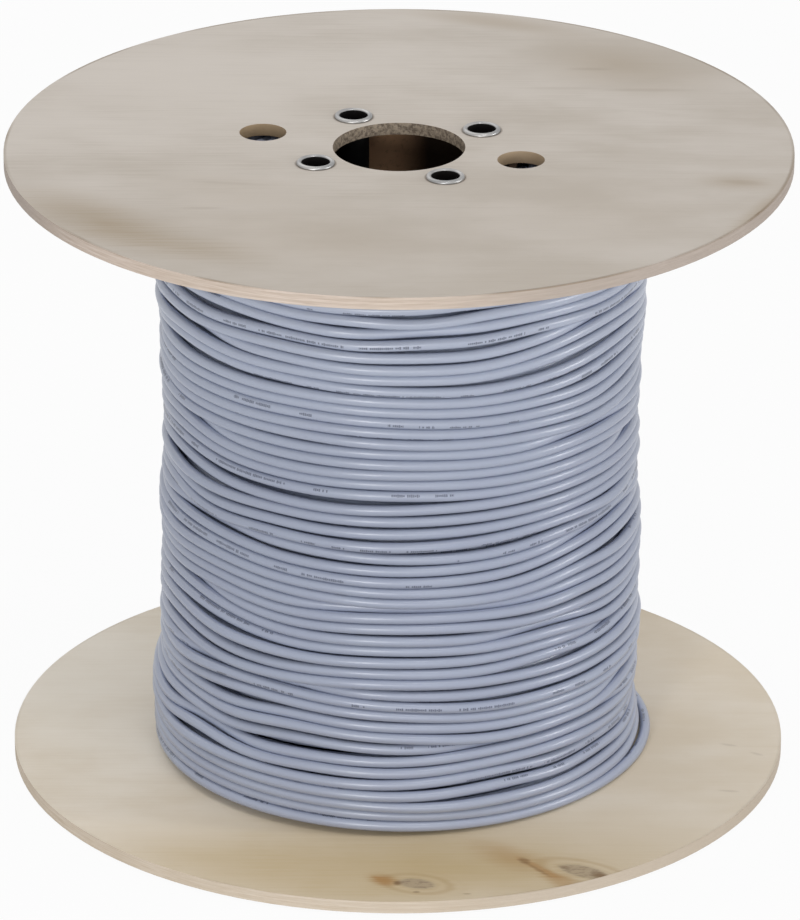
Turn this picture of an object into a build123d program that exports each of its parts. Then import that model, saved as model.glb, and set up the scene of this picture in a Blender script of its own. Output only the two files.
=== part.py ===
"""Plywood cable drum, wound with cable and standing on one flange.

Two plywood flanges are clamped on a paperboard barrel by four hollow steel tie tubes, whose ends
are rolled over into lips. The cable lies on the barrel in layers and fills the width between the
flanges. Millimetres, +Z up along the drum's axis, origin on the floor under the axis.
"""

import os
from itertools import cycle

from build123d import *

# Flanges
flange_diameter = 500.0
flange_thickness = 8.0
traverse = 400.0  # clear width between the flanges
arbor_bore_diameter = 84.0

# Tie tubes
tie_count = 4
tie_first_angle = 29.0  # degrees from +X
tie_diameter = 20.0
tie_wall = 1.2
tie_hole_clearance = 0.3  # radial, between a tube and its hole
tie_web = 7.7  # wood left between the arbor bore and a tie hole
lip_overhang = 2.25  # how far a rolled lip reaches past the tube
lip_height = 2.0
lip_taper = 1.0  # how far a lip draws in from the flange to its crown

# Holes beside the barrel
drive_hole_diameter = 30.0  # takes the driver pin of a winding machine
drive_hole_offset = 80.0  # from the drum's axis
lead_hole_diameter = 30.0  # the cable's inner end is led out here, along the barrel

# Barrel
barrel_wall = 4.5
barrel_tie_clearance = 0.5  # between the barrel and the tie tubes, which centre it

# Cable
cable_diameter = 7.0
winding_diameter = 311.0
lay_clearance = 0.3  # between the winding and the barrel or a flange
gap_share = 0.5  # depth and half width of a gap in the lay, of the cable's diameter
turns_per_band = (7, 5, 4, 5, 4, 7, 6, 6, 4, 5, 4)  # turns that lie level together, from the floor up
band_rise_shares = (0.75, 0.05, 0.15, -0.05, 0.1, -0.35, -0.15, -0.05, 0.1, 0.2, 0.3)  # of cable_diameter
layers_shown = 2  # layers that show at the winding's ends, through the holes beside the barrel

# Overrun of every cut past the face it starts from
overrun = 1.0

# Heights, from the floor up: the drum stands on the lips of its tie tubes
bottom_outer_face = lip_height
bottom_inner_face = bottom_outer_face + flange_thickness
top_inner_face = bottom_inner_face + traverse
top_outer_face = top_inner_face + flange_thickness

# Radii that follow from the pieces that fit together
tie_radius = tie_diameter / 2
tie_hole_radius = tie_radius + tie_hole_clearance
tie_circle_radius = arbor_bore_diameter / 2 + tie_web + tie_hole_radius
barrel_inner_radius = tie_circle_radius + tie_radius + barrel_tie_clearance
barrel_outer_radius = barrel_inner_radius + barrel_wall
lead_hole_offset = barrel_outer_radius + lead_hole_diameter / 2

# The drive and lead holes lie on the line halfway between the tie tubes
tie_spacing = 360.0 / tie_count
drive_hole_angle = tie_first_angle - tie_spacing / 2
lead_hole_angle = drive_hole_angle + 180.0


def hole(radius):
    """A cutter that runs past both faces of a flange on the XY plane."""
    return Pos(0, 0, -overrun) * extrude(Circle(radius), flange_thickness + 2 * overrun)


def flange():
    """A plywood disc on the XY plane."""
    disc = extrude(Circle(flange_diameter / 2), flange_thickness)
    disc -= hole(arbor_bore_diameter / 2)
    disc -= PolarLocations(tie_circle_radius, tie_count, tie_first_angle) * hole(tie_hole_radius)
    disc -= PolarLocations(drive_hole_offset, 1, drive_hole_angle) * hole(drive_hole_diameter / 2)
    return disc - PolarLocations(lead_hole_offset, 1, lead_hole_angle) * hole(lead_hole_diameter / 2)


def barrel():
    """The tube that the cable is wound on, clamped between the flanges."""
    wall = Circle(barrel_outer_radius) - Circle(barrel_inner_radius)
    return Pos(0, 0, bottom_inner_face) * extrude(wall, traverse)


def tie_tube():
    """A hollow tube whose two ends are rolled over outwards, each lip bearing on a flange."""
    bore_radius = tie_radius - tie_wall
    lip_radius = tie_radius + lip_overhang
    crown_radius = lip_radius - lip_taper
    top = top_outer_face + lip_height
    outline = Polyline(
        (bore_radius, 0),
        (crown_radius, 0),
        (lip_radius, bottom_outer_face),
        (tie_radius, bottom_outer_face),
        (tie_radius, top_outer_face),
        (lip_radius, top_outer_face),
        (crown_radius, top),
        (bore_radius, top),
        close=True,
    )
    return revolve(Plane.XZ * make_face(outline), Axis.Z)


def lay_bands(length):
    """Splits the winding's length into bands of whole turns: where each one ends, and its radius."""
    turns = max(1, round(length / cable_diameter))
    placed = 0
    for count, rise_share in cycle(zip(turns_per_band, band_rise_shares)):
        placed = min(placed + count, turns)
        yield placed * length / turns, winding_diameter / 2 + rise_share * cable_diameter
        if placed == turns:
            return


def winding_side(length):
    """The winding's outside as (radius, height) points: level bands, with a V gap between two bands."""
    gap = gap_share * cable_diameter
    bands = list(lay_bands(length))
    points = [(bands[0][1], 0)]
    for (edge, radius), (_, next_radius) in zip(bands, bands[1:]):
        root = min(radius, next_radius) - gap
        points += [(radius, edge - gap), (root, edge), (next_radius, edge + gap)]
    return points + [(bands[-1][1], length)]


def winding_end(inner):
    """The inner layers at one end as (radius, depth) points: a ridge for each layer's last turn."""
    gap = gap_share * cable_diameter
    points = []
    for layer in range(layers_shown):
        radius = inner + layer * cable_diameter
        points += [(radius, gap), (radius + cable_diameter / 2, 0)]
    return points


def cable_winding():
    """The wound cable as one turned solid, between the flanges and on the barrel."""
    length = traverse - 2 * lay_clearance
    end = winding_end(barrel_outer_radius + lay_clearance)
    upper_end = [(radius, length - depth) for radius, depth in reversed(end)]
    section = make_face(Polyline(*end, *winding_side(length), *upper_end, close=True))
    return Pos(0, 0, bottom_inner_face + lay_clearance) * revolve(Plane.XZ * section, Axis.Z)


lower_flange = Pos(0, 0, bottom_outer_face) * flange()
nodes = {
    "bottom_flange": lower_flange,
    "top_flange": mirror(lower_flange, Plane.XY.offset((bottom_inner_face + top_inner_face) / 2)),
    "barrel": barrel(),
    "cable_winding": cable_winding(),
}
for number, place in enumerate(PolarLocations(tie_circle_radius, tie_count, tie_first_angle), 1):
    nodes[f"tie_tube_{number}"] = place * tie_tube()

os.makedirs("parts", exist_ok=True)
for name, solid in nodes.items():
    export_step(solid, f"parts/{name}.step")
    print(name, round(solid.volume), solid.bounding_box().size)
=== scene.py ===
import math

import bpy
import numpy as np
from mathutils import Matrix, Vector


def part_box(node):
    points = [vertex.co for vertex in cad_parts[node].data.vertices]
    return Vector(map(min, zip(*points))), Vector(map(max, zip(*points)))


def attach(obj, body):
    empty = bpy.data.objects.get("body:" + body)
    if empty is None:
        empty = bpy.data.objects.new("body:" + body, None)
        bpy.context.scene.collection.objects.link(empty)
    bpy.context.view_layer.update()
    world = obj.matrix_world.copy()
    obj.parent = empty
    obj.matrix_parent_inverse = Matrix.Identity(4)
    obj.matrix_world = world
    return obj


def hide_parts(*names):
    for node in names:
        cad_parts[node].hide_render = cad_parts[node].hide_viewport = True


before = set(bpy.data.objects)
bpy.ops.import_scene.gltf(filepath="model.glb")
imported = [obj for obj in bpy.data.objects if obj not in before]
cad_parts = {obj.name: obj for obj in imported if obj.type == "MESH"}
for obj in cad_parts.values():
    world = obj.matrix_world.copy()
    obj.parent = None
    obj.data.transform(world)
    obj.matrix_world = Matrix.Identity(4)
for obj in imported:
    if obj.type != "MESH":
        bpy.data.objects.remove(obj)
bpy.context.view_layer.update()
bottomLow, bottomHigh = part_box("bottom_flange")
topLow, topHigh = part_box("top_flange")
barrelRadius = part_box("barrel")[1].x
flangeRadius = topHigh.x
windFloor, windRoof = bottomHigh.z, topLow.z  # the cable lies between these two faces
print("frame loaded, drum", round(2 * flangeRadius, 3), "m across")


class Socket:  # an output socket, so that shader maths reads as plain expressions
    def __init__(self, finish, output):
        self.finish, self.output = finish, output

    def math(self, operation, *values):
        inputs = dict(enumerate(values))
        return self.finish.node("ShaderNodeMath", {"operation": operation}, inputs)

    def __add__(self, other):
        return self.math("ADD", self, other)

    def __radd__(self, other):
        return self.math("ADD", other, self)

    def __sub__(self, other):
        return self.math("SUBTRACT", self, other)

    def __rsub__(self, other):
        return self.math("SUBTRACT", other, self)

    def __mul__(self, other):
        return self.math("MULTIPLY", self, other)

    def __rmul__(self, other):
        return self.math("MULTIPLY", other, self)

    def __truediv__(self, other):
        return self.math("DIVIDE", self, other)

    def __pow__(self, other):
        return self.math("POWER", self, other)

    def __abs__(self):
        return self.math("ABSOLUTE", self)

    def __gt__(self, other):
        return self.math("GREATER_THAN", self, other)

    def __lt__(self, other):
        return self.math("LESS_THAN", self, other)

    def sine(self):
        return self.math("SINE", self)

    def root(self):
        return self.math("SQRT", self)

    def floor(self):
        return self.math("FLOOR", self)

    def fraction(self):
        return self.math("FRACT", self)

    def atMost(self, other):
        return self.math("MINIMUM", self, other)

    def between(self, low, high):  # 0 at low, 1 at high, eased
        return self.finish.node(
            "ShaderNodeMapRange",
            {"interpolation_type": "SMOOTHSTEP"},
            {"Value": self, "From Min": low, "From Max": high},
        )


class Nodes:  # one node tree and the calls that fill it
    def __init__(self, tree):
        self.tree = tree

    def node(self, kind, settings=None, inputs=None, out=0):
        made = self.tree.nodes.new(kind)
        for name, value in (settings or {}).items():
            setattr(made, name, value)
        for key, value in (inputs or {}).items():
            self.feed(made.inputs[key], value)
        return Socket(self, made.outputs[out])

    def feed(self, socket, value):
        if isinstance(value, Socket):
            self.tree.links.new(value.output, socket)
        else:
            socket.default_value = value

    def seen(self):  # 1 where the backdrop is looked at, straight or in a reflection
        kinds = ("Camera", "Glossy", "Transmission")
        rays = [self.node("ShaderNodeLightPath", out=f"Is {kind} Ray") for kind in kinds]
        return (rays[0] + rays[1] + rays[2]).atMost(1)


class Finish(Nodes):  # one material
    def __init__(self, name, **constants):
        self.material = bpy.data.materials.new(name)
        self.material.use_nodes = True
        super().__init__(self.material.node_tree)
        self.shader = self.tree.nodes["Principled BSDF"]
        self.surface(**constants)
        self.place = self.node("ShaderNodeTexCoord", out="Object")
        self.x, self.y, self.z = self.split(self.place)

    def split(self, vector):
        return [self.node("ShaderNodeSeparateXYZ", inputs={0: vector}, out=axis) for axis in range(3)]

    def join(self, x, y, z):
        return self.node("ShaderNodeCombineXYZ", inputs={0: x, 1: y, 2: z})

    def stretched(self, *scale):
        inputs = {0: self.place, 1: scale}
        return self.node("ShaderNodeVectorMath", {"operation": "MULTIPLY"}, inputs)

    def noise(self, vector, scale=1.0, detail=2.0, rough=0.5, bend=0.0):
        inputs = {
            "Vector": vector,
            "Scale": scale,
            "Detail": detail,
            "Roughness": rough,
            "Distortion": bend,
        }
        return self.node("ShaderNodeTexNoise", inputs=inputs)

    def chance(self, value):  # one random number for each whole value
        return self.node("ShaderNodeTexWhiteNoise", {"noise_dimensions": "1D"}, {"W": value})

    def blend(self, share, first, second):  # first where share is 0, second where it is 1
        first, second = [c if isinstance(c, Socket) else (*c, 1) for c in (first, second)]
        return self.node("ShaderNodeMix", {"data_type": "RGBA"}, {0: share, 6: first, 7: second}, out=2)

    def bump(self, height, depth, strength):
        inputs = {"Height": height, "Distance": depth, "Strength": strength}
        return self.node("ShaderNodeBump", inputs=inputs)

    def surface(self, **inputs):  # feeds the shader, with values or sockets
        for socket, value in inputs.items():
            self.feed(self.shader.inputs[socket.replace("_", " ")], value)
        return self.material


def srgb(red, green, blue):  # a colour as 0 to 255 on the screen
    def linear(c):
        c = c / 255
        return c / 12.92 if c <= 0.04045 else ((c + 0.055) / 1.055) ** 2.4

    return linear(red), linear(green), linear(blue)


def meshPiece(name, points, quads, material, caps=()):  # quads as an array, caps as lists of corners
    mesh = bpy.data.meshes.new(name)
    mesh.from_pydata(points.tolist(), [], quads.tolist() + [list(c) for c in caps])
    mesh.polygons.foreach_set("use_smooth", [True] * len(quads) + [False] * len(caps))
    mesh.materials.append(material)
    mesh.update()
    piece = bpy.data.objects.new(name, mesh)
    bpy.context.scene.collection.objects.link(piece)
    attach(piece, "root")
    return piece


def storeValues(piece, name, values):  # one number at each point, for the piece's material
    stored = piece.data.attributes.new(name, "FLOAT", "POINT")
    stored.data.foreach_set("value", np.asarray(values, dtype=np.float32))


def coverNode(node, material):  # a solid of the part that is shown as it is
    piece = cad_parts[node]
    piece.data.materials.clear()
    piece.data.materials.append(material)
    return piece


# Cable

cable = {
    "diameter": 0.0070,
    "turns": 53,
    "steps": 120,  # along one turn
    "sides": 12,
    "hiddenSides": 8,
    "startAngle": 0.5 * math.pi,  # the cable's ends are at the back
    "tuck": 0.125,  # turns over which each end dips under its neighbours
    "seed": 11,
    "levels": [0.010, 0.045, 0.062, 0.100, 0.125, 0.178, 0.192, 0.250, 0.300, 0.322, 0.410],
    "girths": [0.1600, 0.1605, 0.1555, 0.1550, 0.1545, 0.1550, 0.1525, 0.1530, 0.1545, 0.1565, 0.1570],
    "left": math.radians(170),  # the girths hold midway between this side and the one across from it
    "lowSway": 0.020,  # how far the bulge at the foot climbs towards the left
    "lowSwayRise": 12,  # how steeply that sets in above the flange
    "highSway": 0.010,  # and how far the shape climbs at mid height
    "lean": 0.0015,  # the winding stands out further on the right
    "footLift": 0.0045,  # the lowest turn hangs above the flange in front on the left
    "footLiftAt": math.radians(-125),
    "rightWaist": 0.0055,  # the foot bulges less on the right
    "waistHeight": 0.030,
    "footBulge": 0.0062,  # but its lowest turn stands off there
    "footBulgeAt": math.radians(2),
    "footBulgeTight": 5,
    "proud": 0.0007,  # how far turns lift off their layer
    "proudWaves": (9, 0.3, 1.2),  # how many, and their shortest and longest length in turns
    "proudRange": (-0.8, 2.0),
    "unevenLay": 0.0010,
    "unevenWaves": (7, 0.35, 1.3),
    "wander": 0.0028,
    "wanderWaves": 6,
    "wanderRise": (0.05, 0.16),  # shortest and longest, up the winding
    "closest": 0.55,  # the least height between two turns, in diameters, where one rides on the other
    "packRounds": 3,
    "radiusPasses": 6,  # of smoothing
    "heightPasses": 4,
    "gapShare": 0.56,  # of a gap's width, by which each side of it gives way
    "gapReach": 8,  # turns that give way with it
    "gaps": [  # angle and height of a gap between turns, its half length in degrees and its width
        (-137, 0.349, 11, 0.0034),
        (-76, 0.364, 14, 0.0044),
        (-97, 0.355, 8, 0.0050),
        (-75, 0.350, 12, 0.0010),
        (-126, 0.340, 10, 0.0020),
        (-157, 0.316, 8, 0.0046),
        (-42, 0.323, 8, 0.0020),
        (-19, 0.290, 7, 0.0034),
        (-116, 0.290, 8, 0.0018),
        (-60, 0.284, 8, 0.0014),
        (-51, 0.250, 7, 0.0020),
        (-146, 0.228, 11, 0.0026),
        (-160, 0.208, 8, 0.0034),
        (-28, 0.213, 10, 0.0044),
        (-160, 0.188, 9, 0.0046),
        (-124, 0.170, 8, 0.0040),
        (-20, 0.177, 9, 0.0044),
        (-50, 0.146, 10, 0.0020),
        (-49, 0.118, 7, 0.0040),
        (-17, 0.104, 10, 0.0048),
        (-156, 0.110, 10, 0.0054),
        (-132, 0.084, 8, 0.0048),
        (-160, 0.066, 12, 0.0066),
        (-128, 0.064, 10, 0.0042),
        (-166, 0.092, 8, 0.0030),
        (-140, 0.128, 12, 0.0028),
        (-20, 0.054, 8, 0.0058),
        (-147, 0.051, 8, 0.0048),
        (-48, 0.046, 9, 0.0052),
        (-115, 0.050, 9, 0.0038),
        (-146, 0.035, 8, 0.0042),
        (-4, 0.018, 16, 0.0024),
        (40, 0.330, 18, 0.0034),
        (75, 0.150, 20, 0.0038),
        (110, 0.240, 16, 0.0034),
        (150, 0.090, 18, 0.0038),
    ],
    "dives": [  # angle and height where a turn slips under its neighbours, and the half length in degrees
        (-87, 0.356, 11),
        (-88, 0.167, 32),
        (-130, 0.108, 23),
        (-54, 0.141, 12),
        (-64, 0.066, 14),
        (-12, 0.245, 14),
        (-158, 0.150, 18),
        (-155, 0.262, 14),
        (-16, 0.082, 16),
        (-24, 0.128, 12),
        (-150, 0.332, 16),
        (-143, 0.205, 15),
        (-141, 0.062, 14),
        (-32, 0.334, 15),
        (-38, 0.272, 15),
        (-31, 0.192, 16),
        (-37, 0.062, 13),
        (60, 0.220, 25),
        (120, 0.120, 30),
        (165, 0.300, 20),
    ],
    "diveDepth": 0.0060,
    "diveReach": 5,  # turns that close in over it
    "climbs": [  # angle and height where a turn climbs on the one above, and the half length in degrees
        (-112, 0.341, 12),
        (-148, 0.098, 13),
        (-124, 0.074, 13),
        (-143, 0.044, 11),
        (-44, 0.050, 13),
        (-27, 0.112, 11),
        (-152, 0.224, 11),
        (-29, 0.207, 11),
        (-116, 0.166, 10),
        (-52, 0.155, 10),
        (-133, 0.128, 12),
        (-70, 0.030, 16),
        (100, 0.300, 20),
        (70, 0.080, 20),
        (140, 0.180, 18),
    ],
    "climbHeight": 0.0040,
    "climbShift": 0.0030,
}
cableRadius = cable["diameter"] / 2
turnPitch = (windRoof - windFloor - cable["diameter"]) / (cable["turns"] - 1)


def ripple(random, turn, count, shortest, longest):  # uneven along the cable, about -1 to 1
    lengths = random.uniform(shortest, longest, count)
    phases = random.uniform(0, 2 * math.pi, count)
    waves = [np.cos(2 * math.pi * turn / length + phase) for length, phase in zip(lengths, phases)]
    return sum(waves) / math.sqrt(count / 2)


def girth(angle, height):  # the winding's radius, to the middle of its outer turns
    leftward = np.cos(angle - cable["left"])
    share = np.clip((height - windFloor) / (windRoof - windFloor), 0, 1)
    low = cable["lowSway"] * (1 - share) ** 2 * np.minimum(1, share * cable["lowSwayRise"])
    sway = leftward * (low + cable["highSway"] * share * (1 - share))
    nearFoot = np.exp(-((height - cable["waistHeight"]) / cable["waistHeight"]) ** 2)
    waist = cable["rightWaist"] * np.maximum(0, -leftward) ** 2 * nearFoot
    outside = np.interp(height - sway, cable["levels"], cable["girths"]) - cable["lean"] * leftward - waist
    return outside - cableRadius


def packTurns(height, room, foot):  # moves turns apart until each has its room, within the two flanges
    top = windRoof - cableRadius
    last = len(height) - 1

    def pressDown(lane):
        lane[0] = np.minimum(lane[0], top)
        for turn in range(1, last + 1):
            lane[turn] = np.minimum(lane[turn], lane[turn - 1] - room[turn - 1])
        return lane

    def pressUp(lane):
        lane[last] = np.maximum(lane[last], foot)
        for turn in range(last - 1, -1, -1):
            lane[turn] = np.maximum(lane[turn], lane[turn + 1] + room[turn])
        return lane

    return (pressUp(pressDown(height.copy())) + pressDown(pressUp(height.copy()))) / 2


def smoothed(values, passes):  # along the cable
    for _ in range(passes):
        padded = np.concatenate([values[:1], values, values[-1:]])
        values = (padded[:-2] + 2 * padded[1:-1] + padded[2:]) / 4
    return values


def wander(random, angle, height):  # a slow drift that neighbouring turns share
    drift = 0
    for _ in range(cable["wanderWaves"]):
        around, rise = random.integers(1, 4), random.uniform(*cable["wanderRise"])
        phase = random.uniform(0, 2 * math.pi)
        drift = drift + np.cos(around * angle + 2 * math.pi * height / rise + phase)
    return drift / math.sqrt(cable["wanderWaves"] / 2)


def disturb(aim, proud, nearby):  # nearby gives the degrees away from a place, and the turns above it
    for degrees, height, halfSpan, width in cable["gaps"]:
        away, above = nearby(degrees, height)
        above = np.floor(above) + 0.5
        share = np.exp(-((away / halfSpan) ** 2) - (np.abs(above) - 0.5) / cable["gapReach"])
        aim = aim + np.sign(above) * cable["gapShare"] * width * share
    for degrees, height, halfSpan in cable["dives"]:
        away, above = nearby(degrees, height)
        above = np.round(above)
        under = np.exp(-((away / halfSpan) ** 4))
        closing = np.exp(-(np.abs(above) - 1) / cable["diveReach"])
        proud = proud - cable["diveDepth"] * under * (above == 0)
        aim = aim - np.sign(above) * cableRadius * under * closing
    for degrees, height, halfSpan in cable["climbs"]:
        away, above = nearby(degrees, height)
        over = np.exp(-((away / halfSpan) ** 2)) * (np.round(above) == 0)
        proud = proud + cable["climbHeight"] * over
        aim = aim + cable["climbShift"] * over
    return aim, proud


def layOuterTurns():  # the angle, radius and height of each step along the cable
    random = np.random.default_rng(cable["seed"])
    turns, steps = cable["turns"], cable["steps"]
    turn = np.arange(turns * steps) / steps
    angle = cable["startAngle"] + 2 * math.pi * turn
    lane = windRoof - cableRadius - turnPitch * (turn - 0.5)
    uneven = cable["unevenLay"] * ripple(random, turn, *cable["unevenWaves"])
    aim = lane + uneven + cable["wander"] * wander(random, angle, lane)
    proud = cable["proud"] * np.clip(ripple(random, turn, *cable["proudWaves"]), *cable["proudRange"])

    def nearby(degrees, height):
        away = np.degrees(np.angle(np.exp(1j * (angle - math.radians(degrees)))))
        return away, (lane + turnPitch * away / 360 - height) / turnPitch

    aim, proud = disturb(aim, proud, nearby)
    lowest = angle[-steps:]
    lift = cable["footLift"] * (0.5 + 0.5 * np.cos(lowest - cable["footLiftAt"])) ** 3
    offFoot = np.exp(cable["footBulgeTight"] * (np.cos(lowest - cable["footBulgeAt"]) - 1))
    proud[-steps:] += cable["footBulge"] * offFoot
    closest = cable["closest"] * cable["diameter"]
    for _ in range(cable["packRounds"]):
        radius = smoothed(girth(angle, aim) + proud, cable["radiusPasses"])
        rise = np.diff(radius.reshape(turns, steps), axis=0)
        room = np.sqrt(np.maximum(cable["diameter"] ** 2 - rise ** 2, closest ** 2))
        aim = packTurns(aim.reshape(turns, steps), room, windFloor + cableRadius + lift)
        aim = smoothed(aim.ravel(), cable["heightPasses"])
    shown = np.minimum(1, np.minimum(turn, turn[-1] - turn) / cable["tuck"])
    radius = radius - (1 - shown) * cable["diameter"]
    return angle, radius, aim


def sweep(name, angle, radius, height, thickness, sides, material):  # a cable through these places
    around = 2 * math.pi * (np.arange(sides) / sides) + math.pi  # the seam is on the inner side
    out = radius[:, None] + thickness * np.cos(around)
    up = height[:, None] + thickness * np.sin(around)
    points = np.stack([out * np.cos(angle)[:, None], out * np.sin(angle)[:, None], up], -1)
    ring = np.arange(len(angle) - 1)[:, None] * sides
    side = np.arange(sides)
    following = (side + 1) % sides
    corners = [ring + side, ring + sides + side, ring + sides + following, ring + following]
    quads = np.stack(corners, -1).reshape(-1, 4)
    lastRing = (len(angle) - 1) * sides
    caps = (range(sides), range(lastRing + sides - 1, lastRing - 1, -1))
    piece = meshPiece(name, points.reshape(-1, 3), quads, material, caps)
    along = np.concatenate([[0], np.cumsum(np.abs(np.diff(angle)) * radius[1:])])
    storeValues(piece, "along", np.repeat(along, sides))
    storeValues(piece, "around", np.tile(np.arange(sides) / sides, len(angle)))
    return piece


def jacketFinish():
    look = {
        "grey": srgb(150, 157, 176),
        "dusty": srgb(155, 163, 180),
        "dustyShare": 0.5,
        "shade": srgb(118, 125, 145),
        "shadeShare": 0.14,
        # painted light: the upper turns are drawn lighter, against the shade that the top flange casts on
        # them
        "paintedTopLight": srgb(175, 183, 201),
        "paintedTopLightShare": 0.80,
        "paintedTopLightHeights": (0.20, 0.37),
        "paintedFlankLight": srgb(170, 180, 207),  # painted light: the upper and lower side of each turn is drawn lighter and bluer
        "paintedFlankLightShare": 0.7,
        "ink": srgb(62, 67, 86),
        "inkShare": 0.72,
        "dash": 0.0012,  # the printed marks are plain dashes
        "dashShare": 0.8,  # of a dash's length that takes ink
        "dashesMissing": 0.14,
        "dashHeight": (0.026, 0.022),  # the least half height, and what chance adds, of the girth
        "group": 0.0095,
        "groupsMissing": 0.48,
        "repeat": 1.31,  # metres from one printed run to the next
        "printed": 0.42,  # share of each repeat
        "drifts": [(0.24, 1.9), (0.10, 5.3)],  # how far round the cable the print turns, and how fast
    }
    finish = Finish("cable_jacket", Specular_IOR_Level=0.58)
    along = finish.node("ShaderNodeAttribute", {"attribute_name": "along"}, out="Fac")
    around = finish.node("ShaderNodeAttribute", {"attribute_name": "around"}, out="Fac")
    patches = finish.noise(finish.place, 26, 3)
    haze = finish.noise(finish.join(along * 9, around * 4, 0), 1, 3)
    colour = finish.blend(patches.between(0.35, 0.75) * look["dustyShare"], look["grey"], look["dusty"])
    colour = finish.blend(haze.between(0.55, 0.8) * look["shadeShare"], colour, look["shade"])
    # painted light on the upper turns
    paintedTopLight = finish.z.between(*look["paintedTopLightHeights"]) * look["paintedTopLightShare"]
    colour = finish.blend(paintedTopLight, colour, look["paintedTopLight"])
    # painted light on the sides of each turn, towards the gaps
    paintedFlankLight = abs(around - 0.5).between(0.17, 0.30) * look["paintedFlankLightShare"]
    colour = finish.blend(paintedFlankLight, colour, look["paintedFlankLight"])
    cell = along / look["dash"]
    dashes = (finish.chance(cell.floor()) > look["dashesMissing"]) * (cell.fraction() < look["dashShare"])
    groups = finish.chance((along / look["group"]).floor() + 0.5) > look["groupsMissing"]
    runs = (along / look["repeat"]).fraction() < look["printed"]
    line = 0.5  # where the print runs, from the inner side round to it again
    for far, fast in look["drifts"]:
        line = line + far * (along * fast).sine()
    least, added = look["dashHeight"]
    stripe = abs(around - line) < least + added * finish.chance(cell.floor() + 0.25)
    colour = finish.blend(dashes * groups * runs * stripe * look["inkShare"], colour, look["ink"])
    skin = finish.noise(finish.place, 900, 2)
    rough = 0.26 + 0.08 * patches
    return finish.surface(Base_Color=colour, Roughness=rough, Normal=finish.bump(skin, 0.00004, 0.5))


def layUnderTurns():  # the layer that shows through the gaps
    under = {
        "steps": 60,
        "startAngle": 0.2,
        "depth": 1.5,  # below the outer turns, in diameters
        "footDepth": 1.0,
        "footHeights": (0.015, 0.035),  # above the flange, between footDepth and depth
    }
    turn = np.arange(cable["turns"] * under["steps"]) / under["steps"]
    angle = under["startAngle"] - 2 * math.pi * turn
    height = windRoof - cableRadius - turnPitch * np.maximum(turn - 1, 0)
    depth = np.interp(height - windFloor, under["footHeights"], (under["footDepth"], under["depth"]))
    return angle, girth(angle, height) - depth * cable["diameter"], height


def windCable():
    jacket = jacketFinish()
    outer = sweep("cable_outer_turns", *layOuterTurns(), cableRadius, cable["sides"], jacket)
    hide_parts("cable_winding")
    sweep("cable_under_turns", *layUnderTurns(), cableRadius, cable["hiddenSides"], jacket)
    print("cable wound in", cable["turns"], "turns a layer")


def windEnds():  # the last turns of the inner layers, seen through the holes beside the barrel
    ends = {
        "layers": 11,
        "steps": 90,
        "startAngle": 1.1,
        "rise": 0.93,  # from layer to layer, in diameters
        "climb": 0.2,  # share of a turn in which it rises
        "deepest": 0.009,
        "waves": (6, 0.4, 1.7),
        "passes": 5,
    }
    plainJacket = bpy.data.materials["cable_jacket"]  # the frame's own, which has no print
    random = np.random.default_rng(cable["seed"] + 1)
    for name, face, way in (("top", windRoof, -1), ("bottom", windFloor, 1)):
        turn = np.arange(ends["layers"] * ends["steps"]) / ends["steps"]
        angle = ends["startAngle"] + 2 * math.pi * turn * way
        climb = np.floor(turn) + np.clip((turn % 1 - 1 + ends["climb"]) / ends["climb"], 0, 1)
        radius = barrelRadius + cableRadius + climb * ends["rise"] * cable["diameter"]
        depth = ends["deepest"] * np.clip(0.5 + 0.5 * ripple(random, turn, *ends["waves"]), 0, 1)
        height = face + way * (cableRadius + smoothed(depth, ends["passes"]))
        place = (angle, radius, height)
        sweep(f"cable_{name}_end_turns", *place, cableRadius, cable["hiddenSides"], plainJacket)
    print("end turns laid")


# Flanges

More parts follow.
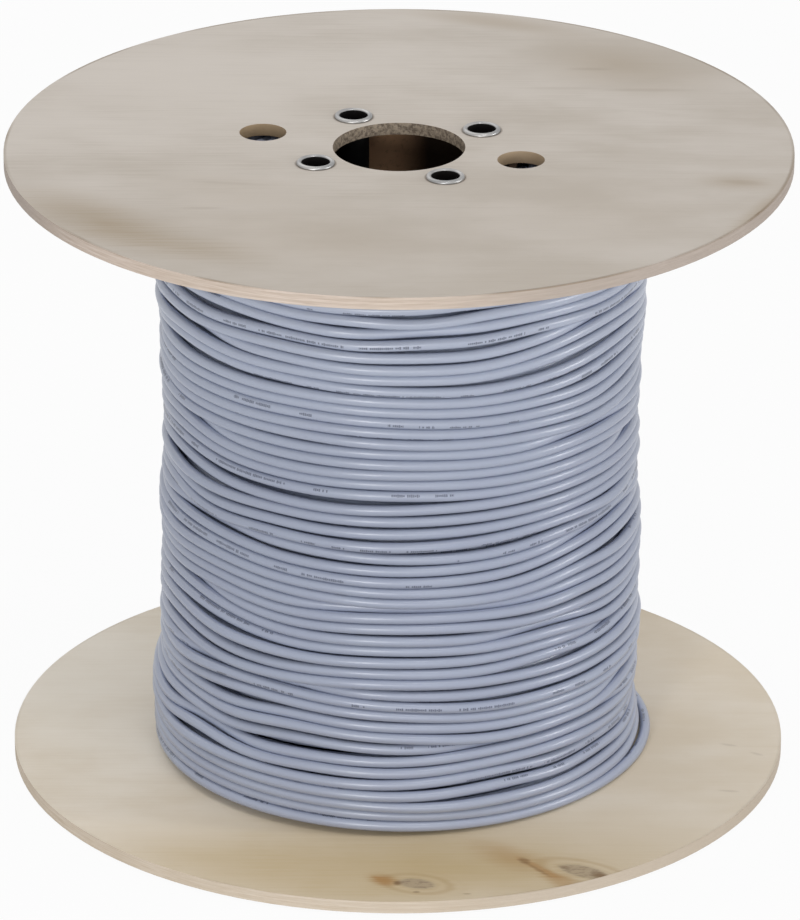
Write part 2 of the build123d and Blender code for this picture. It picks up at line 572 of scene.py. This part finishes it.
class Plywood(Finish):  # one flange, whose plies lie from low to high
    def __init__(self, name, low, high, look):
        super().__init__(name, Specular_IOR_Level=0.3)
        self.look, self.high = look, high
        x, y, z = self.x, self.y, self.z
        self.middle = (x * x + y * y).root()  # distance from the axis
        figure = self.noise(self.stretched(2.2, 11, 3), 1, 3, 0.5, 0.6)
        self.rings = ((figure * 46).sine() * 0.5 + 0.5) ** 2
        self.fibre = self.noise(self.stretched(14, 520, 60), 1, 3, 0.6)
        self.pores = self.noise(self.stretched(60, 1500, 200), 1, 2, 0.6)
        self.cloud = self.noise(self.stretched(9, 16, 8), 1, 4, 0.55)
        self.streak = self.noise(self.join((x + y) * 40, (x - y) * 40, z * 1800), 1, 3)
        self.grit = self.noise(self.place, 420, 4, 0.7)
        self.worn = self.noise(self.stretched(11, 11, 0), 1, 2).between(0.40, 0.62) * look["arrisShare"]
        self.layer = (z - low) / (high - low) * look["plies"]
        self.seam = abs(self.layer.fraction() - 0.5).between(0.36, 0.5)

    def reach(self, px, py, length, width, turned):  # 0 in the middle of a mark, 1 at its edge
        c, s = math.cos(math.radians(turned)), math.sin(math.radians(turned))
        along = self.x * (c / length) + self.y * (s / length) - (px * c + py * s) / length
        across = self.y * (c / width) - self.x * (s / width) - (py * c - px * s) / width
        return (along * along + across * across).root()

    def tint(self, colour, share, tone):  # towards one of the flange's own tones
        return self.blend(share, colour, self.look[tone])

    def grainColour(self):
        look = self.look
        colour = self.blend(self.cloud.between(0.3, 0.7), look["face"], look["warm"])
        colour = self.tint(colour, self.rings * look["ringShare"], "late")
        colour = self.tint(colour, self.fibre.between(0.45, 0.8) * look["fibreShare"], "late")
        return self.tint(colour, self.pores.between(0.64, 0.8) * look["poreShare"], "pore")

    def addKnot(self, colour, near):  # near is 0 in the knot's middle and 1 at its edge
        fleck = self.noise(self.stretched(190, 520, 60), 1, 3, 0.6)
        rings = (near * 7 + self.fibre * 4).sine() * 0.5 + 0.5
        around = near.between(0.9, 1.2) - near.between(1.2, 2.8)
        heart = 1 - near.between(0.7, 1.1)
        colour = self.tint(colour, rings * around * 0.42, "knotRing")
        colour = self.tint(colour, heart * (0.62 + 0.4 * self.fibre), "knot")
        return self.tint(colour, heart * fleck.between(0.48, 0.66) * 0.45, "knotDark")

    def faceColour(self):
        look, cloud, fibre = self.look, self.cloud - 0.5, self.fibre - 0.5
        colour = self.grainColour()
        for tone, share, *mark in look["marks"]:
            ragged = self.reach(*mark) + (cloud * 1.1 + fibre * look["streaks"])
            colour = self.tint(colour, (1 - ragged.between(-0.1, 1.25)) * share, tone)
        for mark in look["knots"]:
            colour = self.addKnot(colour, self.reach(*mark) + cloud * 0.7)
        for tone, share, *mark in look["spots"]:
            spot = self.reach(*mark) + fibre * 0.9 + cloud * 0.6
            colour = self.tint(colour, (1 - spot.between(0.25, 1.1)) * share, tone)
        # painted shade: a dark ring on the face round each tie tube's lip
        for px, py, lip in look["lips"]:
            nearLip = 1 - self.reach(px, py, lip, lip, 0).between(1.0, look["paintedLipShadeReach"])
            colour = self.tint(colour, nearLip * look["paintedLipShadeShare"], "paintedLipShade")
        start, full = look["arrisWidths"]
        nearRim = self.middle.between(flangeRadius - start, flangeRadius - full)
        return self.tint(colour, nearRim * self.worn, "arris")

    def edgeColour(self):  # the plies, in turn along and across the grain
        look, x = self.look, self.x
        odd = (self.layer.floor() / 2).fraction() > 0.25
        endGrain = abs(odd - (abs(x) / self.middle).between(0.35, 0.9))
        colour = self.blend(endGrain * 0.5, look["edgePale"], look["edgeDark"])
        colour = self.tint(colour, self.streak.between(0.4, 0.7) * 0.6, "edgeStreak")
        colour = self.tint(colour, self.seam * 0.25, "glue")
        colour = self.tint(colour, self.cloud.between(0.42, 0.66) * 0.4, "edgeShade")
        # painted shade on the rim at the right front, and on the top flange at the far left, broken up by
        # the streaks
        paintedShade = x.between(*look["paintedShadeFrom"]) + (1 - x.between(*look["paintedShadeTo"])) * look["paintedShadeLeft"]
        colour = self.tint(colour, paintedShade * (0.75 + 0.4 * (self.streak - 0.5)), "edgePaintedShade")
        nearFace = 1 - (self.high - self.z).between(*look["arrisDepth"])
        return self.tint(colour, nearFace * self.worn, "arris")

    def holeColour(self):  # the sawn wall of the bore, and of the holes beside it
        look = self.look
        bore = self.blend(self.grit.between(0.35, 0.65), look["boreDark"], look["borePale"])
        hole = self.blend(self.cloud.between(0.35, 0.65), look["holePale"], look["holeDark"])
        return self.blend(self.middle.between(*look["pastBore"]), bore, hole)

    def finished(self):
        normal = self.node("ShaderNodeNewGeometry", out="Normal")
        onFace = abs(self.split(normal)[2]).between(0.4, 0.75)
        edge = self.blend(self.middle.between(*self.look["pastHoles"]), self.holeColour(), self.edgeColour())
        colour = self.blend(onFace, edge, self.faceColour())
        faceRelief = self.fibre * 0.5 + self.pores * 0.3 + self.rings * 0.2
        edgeRelief = (1 - self.seam) * 0.3 + self.streak * 0.4 + self.grit * 0.5
        relief = onFace * faceRelief + (1 - onFace) * edgeRelief
        rough = 0.62 + 0.16 * self.cloud
        return self.surface(Base_Color=colour, Roughness=rough, Normal=self.bump(relief, 0.00018, 0.5))


def dressFlanges():
    ties = [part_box(f"tie_tube_{number}") for number in range(1, 5)]
    shared = {
        "plies": 5,
        "lips": [(*((low + high) / 2).xy, (high.x - low.x) / 2) for low, high in ties],
        "pastBore": (0.050, 0.060),  # distances from the axis, between the bore and the holes
        "pastHoles": (0.19, 0.2),
        # painted shade round the tie tubes' lips
        "paintedLipShade": srgb(104, 92, 80),
        "paintedLipShadeShare": 0.7,
        "paintedLipShadeReach": 1.13,  # of a lip's radius
        "pore": srgb(150, 136, 120),
        "glue": srgb(186, 168, 148),
        "arris": srgb(128, 110, 88),
        "arrisWidths": (0.0024, 0.0006),  # in from the rim, where wear on the corner starts and is full
        "arrisDepth": (0.0002, 0.0011),  # and down the edge, where it is full and ends
        "paintedShadeFrom": (-0.01, 0.11),  # the edge gets painted shade right of this, and on some flanges at the far left
        "paintedShadeTo": (-0.24, -0.18),
        "boreDark": srgb(98, 86, 74),
        "borePale": srgb(160, 146, 128),
        "holePale": srgb(176, 155, 129),
        "holeDark": srgb(152, 131, 103),
    }
    top = {
        **shared,
        "face": srgb(202, 194, 185),
        "warm": srgb(190, 181, 170),
        "late": srgb(176, 164, 150),
        "paintedLight": srgb(210, 202, 193),
        "smudge": srgb(160, 142, 117),
        "tick": srgb(140, 122, 102),
        "edgePale": srgb(214, 200, 189),
        "edgeDark": srgb(190, 173, 159),
        "edgeStreak": srgb(174, 155, 137),
        "edgeShade": srgb(188, 172, 155),
        "edgePaintedShade": srgb(163, 152, 143),
        "paintedShadeLeft": 1.0,
        "arrisShare": 0.6,
        "streaks": 1.1,
        "ringShare": 0.10,
        "fibreShare": 0.24,
        "poreShare": 0.24,
        "marks": [  # tone and strength, then place, half length and width, and turn in degrees
            # painted light: a wide lighter patch over the back left of the face
            ("paintedLight", 0.90, -0.140, 0.100, 0.300, 0.220, 0),
            ("smudge", 0.72, -0.182, -0.130, 0.086, 0.032, -42),
            ("smudge", 0.34, -0.120, -0.172, 0.055, 0.022, -34),
            ("smudge", 0.42, 0.142, 0.148, 0.075, 0.044, -32),
            ("smudge", 0.40, 0.212, -0.060, 0.026, 0.014, -8),
            ("smudge", 0.22, -0.060, -0.150, 0.120, 0.060, -10),
            ("smudge", 0.40, 0.066, 0.224, 0.055, 0.014, -20),
            ("smudge", 0.55, 0.226, -0.108, 0.070, 0.010, 64),
            ("smudge", 0.14, 0.110, -0.110, 0.080, 0.070, 0),
            ("smudge", 0.16, -0.110, -0.070, 0.070, 0.030, -12),
        ],
        "knots": [],
        "spots": [
            ("tick", 0.20, 0.124, 0.139, 0.020, 0.0034, 0),
            ("tick", 0.16, 0.106, 0.104, 0.030, 0.0034, 0),
            ("tick", 0.18, 0.160, 0.101, 0.036, 0.0036, 0),
            ("tick", 0.16, 0.216, -0.060, 0.018, 0.0050, -8),
            ("tick", 0.70, 0.236, -0.087, 0.007, 0.0016, 66),
            ("tick", 0.60, 0.223, -0.112, 0.006, 0.0016, 60),
            ("tick", 0.18, -0.123, -0.105, 0.018, 0.0030, 0),
            ("tick", 0.14, -0.106, -0.063, 0.026, 0.0030, -6),
        ],
    }
    # painted light: the bottom flange's tones are drawn lighter than the top flange's, though both are the
    # same plywood, against the shade the top flange casts on it
    bottom = {
        **shared,
        "face": srgb(230, 219, 202),
        "warm": srgb(221, 207, 185),
        "late": srgb(208, 190, 160),
        "paintedLight": srgb(244, 236, 222),
        "honey": srgb(196, 173, 129),
        "amber": srgb(172, 130, 76),
        "knot": srgb(172, 153, 126),
        "knotRing": srgb(170, 138, 92),
        "knotDark": srgb(118, 98, 76),
        "tick": srgb(120, 92, 60),
        "edgePale": srgb(217, 204, 187),
        "edgeDark": srgb(205, 190, 171),
        "edgeStreak": srgb(194, 176, 152),
        "edgeShade": srgb(196, 180, 158),
        "edgePaintedShade": srgb(194, 181, 164),
        "paintedShadeLeft": 0.0,
        "arrisShare": 0.15,
        "streaks": 0.4,
        "ringShare": 0.08,
        "fibreShare": 0.14,
        "poreShare": 0.12,
        "marks": [
            # painted light: a wide lighter patch over the back left of the face
            ("paintedLight", 0.90, -0.220, 0.090, 0.240, 0.220, 0),
            ("honey", 0.95, 0.015, -0.205, 0.220, 0.090, 0),
            ("honey", 0.35, -0.120, -0.190, 0.060, 0.030, -20),
            ("amber", 0.42, 0.070, -0.186, 0.034, 0.016, -42),
            ("amber", 0.46, -0.009, -0.218, 0.015, 0.010, -30),
        ],
        "knots": [  # place, half length and width, and turn in degrees
            (0.012, -0.2245, 0.0132, 0.0076, -17),
            (0.117, -0.2070, 0.0170, 0.0080, -28),
        ],
        "spots": [
            ("amber", 0.80, -0.0085, -0.2205, 0.0120, 0.0095, -25),
            ("amber", 0.50, -0.0130, -0.2165, 0.0060, 0.0030, -35),
            ("tick", 0.80, -0.0002, -0.2236, 0.0036, 0.0042, 0),
            ("amber", 0.60, 0.0890, -0.2030, 0.0240, 0.0042, -50),
            ("amber", 0.50, 0.1020, -0.2200, 0.0190, 0.0090, -46),
            ("tick", 0.50, 0.0800, -0.1925, 0.0060, 0.0036, -60),
            ("tick", 0.34, 0.0880, -0.2040, 0.0150, 0.0018, -53),
            ("tick", 0.75, 0.1275, -0.2128, 0.0072, 0.0046, -28),
            ("tick", 0.35, 0.1050, -0.2010, 0.0060, 0.0028, -28),
            ("tick", 0.50, 0.0118, -0.2361, 0.0030, 0.0018, 0),
            ("tick", 0.40, 0.0434, -0.2387, 0.0040, 0.0016, 0),
            ("tick", 0.16, 0.2153, -0.0229, 0.0070, 0.0020, -20),
            ("tick", 0.16, 0.2330, -0.0363, 0.0060, 0.0020, -30),
            ("tick", 0.16, 0.2128, -0.0911, 0.0080, 0.0020, -10),
        ],
    }
    for node, low, high, look in (
        ("top_flange", topLow.z, topHigh.z, top),
        ("bottom_flange", bottomLow.z, bottomHigh.z, bottom),
    ):
        piece = coverNode(node, Plywood(node + "_plywood", low, high, look).finished())
    print("flanges dressed")


# Tie tubes

def zincFinish():
    look = {
        "dark": (0.29, 0.29, 0.29),
        "bright": (0.41, 0.40, 0.39),
        "stain": (0.24, 0.22, 0.20),
        "shadow": (0.005, 0.004, 0.004),
    }
    finish = Finish("zinc_steel", Specular_IOR_Level=0.1)
    inside = finish.node("ShaderNodeAttribute", {"attribute_name": "inside"}, out="Fac")
    grain = finish.noise(finish.place, 260, 4, 0.6)
    spangle = finish.noise(finish.place, 90, 2)
    colour = finish.blend(spangle.between(0.3, 0.7), look["dark"], look["bright"])
    colour = finish.blend(grain.between(0.6, 0.75) * 0.3, colour, look["stain"])
    colour = finish.blend(inside, colour, look["shadow"])
    rough = 0.30 + 0.20 * grain + 0.3 * inside
    relief = finish.bump(grain, 0.0001, 0.4)
    return finish.surface(Base_Color=colour, Roughness=rough, Metallic=1 - inside, Normal=relief)


def turnOutline(name, centre, outline, steps, material):  # outline as (radius, height) round the section
    angle = 2 * math.pi * np.arange(steps) / steps
    x = centre.x + np.outer(np.cos(angle), outline[:, 0])
    y = centre.y + np.outer(np.sin(angle), outline[:, 0])
    z = np.tile(outline[:, 1], (steps, 1))
    points = np.stack([x, y, z], -1).reshape(-1, 3)
    count = len(outline)
    column, row = np.meshgrid(np.arange(steps), np.arange(count), indexing="ij")
    here, beside = column * count, (column + 1) % steps * count
    nextRow = (row + 1) % count
    quads = np.stack([here + row, beside + row, beside + nextRow, here + nextRow], -1).reshape(-1, 4)
    return meshPiece(name, points, quads, material)


def rollTieTubes():
    tube = {
        "outer": 0.010,
        "wall": 0.0012,
        "steps": 96,
        "rollSteps": 14,
        "insideReach": 0.0003,
        "paintedShade": 0.94,  # painted shade: the tube itself, between the flanges, is drawn near black and hardly metallic
    }
    zinc = zincFinish()
    inner = tube["outer"] - tube["wall"]
    turned = [math.pi * k / tube["rollSteps"] for k in range(tube["rollSteps"] + 1)]
    for number in range(1, 5):
        node = f"tie_tube_{number}"
        low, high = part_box(node)
        centre = (low + high) / 2
        lip = (high.x - low.x) / 2
        rise = high.z - topHigh.z
        rollMiddle, rollHalf = (lip + inner) / 2, (lip - inner) / 2
        upper = [(rollMiddle + rollHalf * math.cos(a), topHigh.z + rise * math.sin(a)) for a in turned]
        lower = [(rollMiddle - rollHalf * math.cos(a), bottomLow.z - rise * math.sin(a)) for a in turned]
        outline = np.array([(tube["outer"], bottomLow.z), (tube["outer"], topHigh.z), *upper, *lower])
        piece = turnOutline(f"rolled_{node}", centre, outline, tube["steps"], zinc)
        belowCrown = np.abs(outline[:, 1] - centre.z) < centre.z - bottomLow.z / 2  # half a lip's height
        # painted shade: the inside of each tube is drawn near black and not metallic
        inside = (outline[:, 0] < inner + tube["insideReach"]) & belowCrown
        paintedShade = tube["paintedShade"] * (np.arange(len(outline)) < 2)
        storeValues(piece, "inside", np.tile(np.maximum(inside, paintedShade), tube["steps"]))
        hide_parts(node)
    print("tie tubes rolled")


# Barrel

def dressBarrel():
    look = {
        # painted shade: the board's tones are drawn far darker than paperboard, for the shade inside the
        # barrel
        "board": srgb(46, 33, 24),
        "cloud": srgb(36, 26, 19),
        "fibre": srgb(36, 26, 18),
        "seam": srgb(26, 18, 13),
        "seams": 9,  # to a metre of the barrel
        # painted light: a lit patch on the barrel's inner wall, at the back of the bore
        "paintedLitPatch": srgb(208, 164, 128),
        "paintedLitPatchFrom": (-0.05, -0.03),  # across the back of the bore
        "paintedLitPatchTo": (-0.008, 0.020),
    }
    finish = Finish("paperboard", Specular_IOR_Level=0.2)
    fibre = finish.noise(finish.place, 300, 4, 0.65)
    cloud = finish.noise(finish.place, 18, 3)
    turned = finish.node("ShaderNodeMath", {"operation": "ARCTAN2"}, {0: finish.y, 1: finish.x})
    seam = (finish.z * look["seams"] + turned / (2 * math.pi)).fraction()
    # painted light in the bore
    paintedLitPatch = finish.x.between(*look["paintedLitPatchFrom"]) - finish.x.between(*look["paintedLitPatchTo"])
    colour = finish.blend(cloud.between(0.3, 0.7), look["board"], look["cloud"])
    colour = finish.blend(paintedLitPatch * (finish.y > 0), colour, look["paintedLitPatch"])
    colour = finish.blend(fibre.between(0.5, 0.75) * 0.35, colour, look["fibre"])
    colour = finish.blend((1 - seam.between(0.0, 0.02)) * 0.6, colour, look["seam"])
    rough = 0.75 + 0.15 * fibre
    paperboard = finish.surface(Base_Color=colour, Roughness=rough, Normal=finish.bump(fibre, 0.0002, 0.5))
    piece = coverNode("barrel", paperboard)
    print("barrel dressed")


# Stage, light and camera

def setStage():
    stage = {"size": 8.0, "tone": 0.60, "shown": 0.95}  # shown is how white the floor looks
    half = stage["size"] / 2
    corners = [(-half, -half, 0), (half, -half, 0), (half, half, 0), (-half, half, 0)]
    mesh = bpy.data.meshes.new("floor")
    mesh.from_pydata(corners, [], [(0, 1, 2, 3)])
    floor = bpy.data.objects.new("floor", mesh)
    bpy.context.scene.collection.objects.link(floor)
    finish = Finish("floor_paper", Roughness=0.9, Specular_IOR_Level=0.0)
    tone = (stage["tone"],) * 3
    finish.surface(Base_Color=(*tone, 1))
    white = finish.node("ShaderNodeEmission", inputs={"Color": (1, 1, 1, 1), "Strength": 1.0})
    plain = Socket(finish, finish.shader.outputs[0])
    share = finish.seen() * stage["shown"]
    mixed = finish.node("ShaderNodeMixShader", inputs={0: share, 1: plain, 2: white})
    output = finish.tree.nodes["Material Output"]
    finish.feed(output.inputs["Surface"], mixed)
    mesh.materials.append(finish.material)
    print("floor laid")


def aimed(thing, place, target):
    thing.location = place
    thing.rotation_euler = (Vector(target) - Vector(place)).to_track_quat("-Z", "Y").to_euler()
    bpy.context.scene.collection.objects.link(thing)
    return thing


def softLight(name, azimuth, elevation, distance, size, power):  # azimuth from the camera, to the right
    data = bpy.data.lights.new(name, "AREA")
    data.shape = "RECTANGLE"
    data.size, data.size_y = size
    data.energy = power
    a, e = math.radians(azimuth), math.radians(elevation)
    way = Vector((math.sin(a) * math.cos(e), -math.cos(a) * math.cos(e), math.sin(e)))
    aimHeight = 0.2  # about the drum's middle
    middle = Vector((0, 0, aimHeight))
    aimed(bpy.data.objects.new(name, data), way * distance + middle, middle)


def setLight():
    lamps = {  # azimuth and elevation in degrees, distance, width and height, power
        "key": (-15, 11, 3.2, (0.42, 0.9), 29),
        "side": (79, 15, 3.2, (0.42, 0.9), 25),
        "front": (6, 8, 3.2, (1.4, 0.9), 12),
        "fill": (-140, 50, 3.0, (2.4, 2.4), 14),
        "top": (20, 57, 3.2, (0.7, 0.7), 12),
    }
    ambient = 0.57  # light on the drum, from a world that looks white
    for name, values in lamps.items():
        softLight(name, *values)
    world = bpy.data.worlds.new("studio")
    world.use_nodes = True
    bpy.context.scene.world = world
    sky = world.node_tree.nodes["Background"]
    nodes = Nodes(world.node_tree)
    nodes.feed(sky.inputs["Color"], (1, 1, 1, 1))
    nodes.feed(sky.inputs["Strength"], ambient + (1 - ambient) * nodes.seen())
    print("lamps hung")


def setCamera():
    view = {
        "elevation": 23.53,
        "distance": 5.112,  # from the drum's middle
        "middle": 0.210,
        "aim": (0.0010, -0.0030, 0.2031),
        "roll": 0.117,
        "lens": 311.1,
    }
    data = bpy.data.cameras.new("camera")
    data.lens = view["lens"]
    e = math.radians(view["elevation"])
    back = Vector((0, -math.cos(e), math.sin(e))) * view["distance"]
    camera = aimed(bpy.data.objects.new("camera", data), back + Vector((0, 0, view["middle"])), view["aim"])
    camera.rotation_euler.rotate_axis("Z", math.radians(view["roll"]))
    bpy.context.scene.camera = camera
    bpy.context.scene.view_settings.view_transform = "Standard"
    print("camera set")


windCable()
windEnds()
dressFlanges()
rollTieTubes()
dressBarrel()
setStage()
setLight()
setCamera()

print("scene made")
